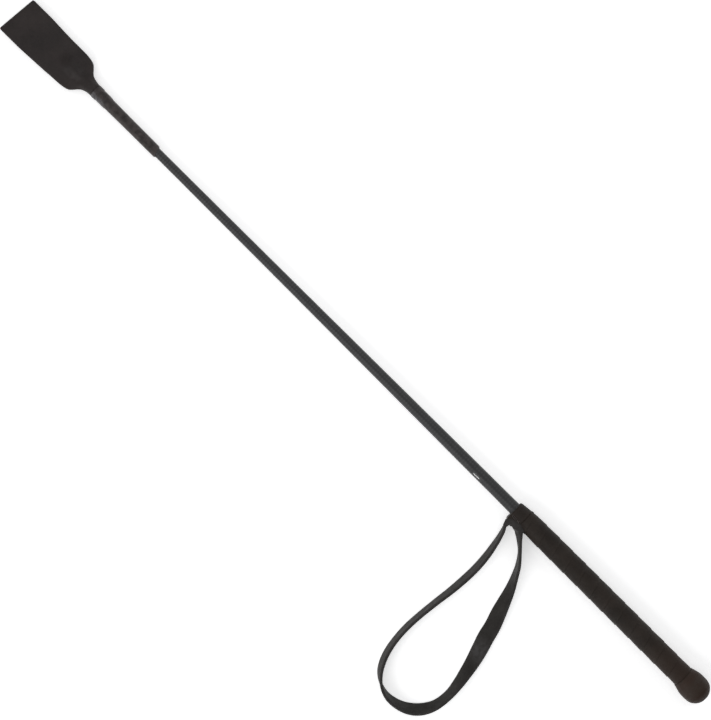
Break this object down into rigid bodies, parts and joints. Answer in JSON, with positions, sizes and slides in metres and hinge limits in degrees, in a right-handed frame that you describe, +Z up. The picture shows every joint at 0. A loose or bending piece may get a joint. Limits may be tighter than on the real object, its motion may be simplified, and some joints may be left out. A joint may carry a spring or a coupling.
{
  "type": "riding crop",
  "caption": "Riding crop lying on its side: folded leather keeper, whipped neck, tapered braided shaft, wrapped leather grip with a rounded pommel, and a leather wrist loop.",
  "frame": {"origin": "on the surface the crop lies on, under the middle of the shaft, measured without the wrist strap", "axes": "+X along the shaft from the keeper towards the pommel, +Z up from the surface, and the wrist loop lies on the -Y side"},
  "size_m": [0.66, 0.1679, 0.0198],
  "materials": {
    "keeper_leather": "dark brown-black leather, smooth, slightly waxed",
    "grip_leather": "dark brown-black leather strip, matte",
    "strap_leather": "black strap leather with a soft sheen",
    "whipping_thread": "waxed black thread",
    "lacquered_braid": "lacquered charcoal braid, glossy",
    "fibreglass": "bare glass-fibre rod",
    "black_rubber": "matte black rubber",
    "core_wood": "turned bare wood"
  },
  "bodies": {
    "crop": {"shaft_rod": "fibreglass", "tip_cap": "black_rubber", "shaft_cover": "lacquered_braid", "keeper_base_upper": "keeper_leather", "keeper_base_lower": "keeper_leather", "keeper_whipping": "whipping_thread", "handle_core": "black_rubber", "grip_wrap": "grip_leather", "pommel_core": "core_wood", "pommel_cover": "grip_leather", "butt_disc": "grip_leather"},
    "keeper_flap": {"keeper_flap": "keeper_leather"},
    "loop_hanger": {"loop_collar": "strap_leather", "collar_thread": "whipping_thread"},
    "wrist_loop": {"wrist_strap": "strap_leather"}
  },
  "joints": [
    {"name": "keeper_flex", "type": "hinge", "parent": "crop", "child": "keeper_flap", "pos_m": [-0.28199, 0, 0.0046], "axis": [0, 1, 0], "range_deg": [-45, 45], "stiffness_Nm_per_rad": 0.1},
    {"name": "loop_swivel", "type": "hinge", "parent": "crop", "child": "loop_hanger", "pos_m": [0.15159, 0, 0.00843], "axis": [1, 0, 0.0088], "continuous": true},
    {"name": "loop_swing", "type": "hinge", "parent": "loop_hanger", "child": "wrist_loop", "pos_m": [0.1526, -0.0102, 0.00844], "axis": [0, 0, 1], "range_deg": [-70, 0]}
  ]
}
